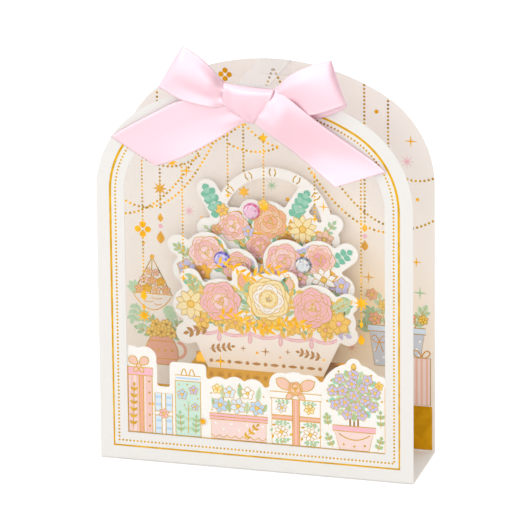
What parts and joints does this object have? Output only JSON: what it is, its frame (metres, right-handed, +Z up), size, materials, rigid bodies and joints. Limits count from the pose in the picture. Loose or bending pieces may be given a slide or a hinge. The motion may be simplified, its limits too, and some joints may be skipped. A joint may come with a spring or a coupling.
{
  "type": "pop-up greeting card",
  "caption": "Standing arched greeting card with a clear window, a layered paper basket of flowers on a foil shelf inside, flat-backed stones and a satin bow on top.",
  "frame": {"origin": "middle of the base's lower face, on the surface that the card stands on", "axes": "+Z up, +X to the reader's right, the reader looks along +Y at the front panel"},
  "size_m": [0.12, 0.0404, 0.1649],
  "materials": {
    "card_stock": "matte, uncoated",
    "printed_card": "matte print with foil",
    "foil_card": "mirror foil",
    "clear_film": "clear",
    "foam_tape": "matte foam",
    "stone_pink": "faceted",
    "stone_purple": "faceted",
    "stone_clear": "faceted",
    "satin_ribbon": "satin"
  },
  "bodies": {
    "root": {"card_shell": "card_stock", "window_film": "clear_film", "gift_row": "printed_card", "gold_shelf": "foil_card", "film_bridge": "clear_film", "basket_front": "printed_card", "flowers_middle": "printed_card", "basket_back": "printed_card", "foam_pads_front": "foam_tape", "foam_pads_middle": "foam_tape", "foam_pads_back": "foam_tape", "gem_pink": "stone_pink", "gem_purple": "stone_purple", "gem_clear": "stone_clear", "ribbon_bow": "satin_ribbon"}
  },
  "joints": []
}
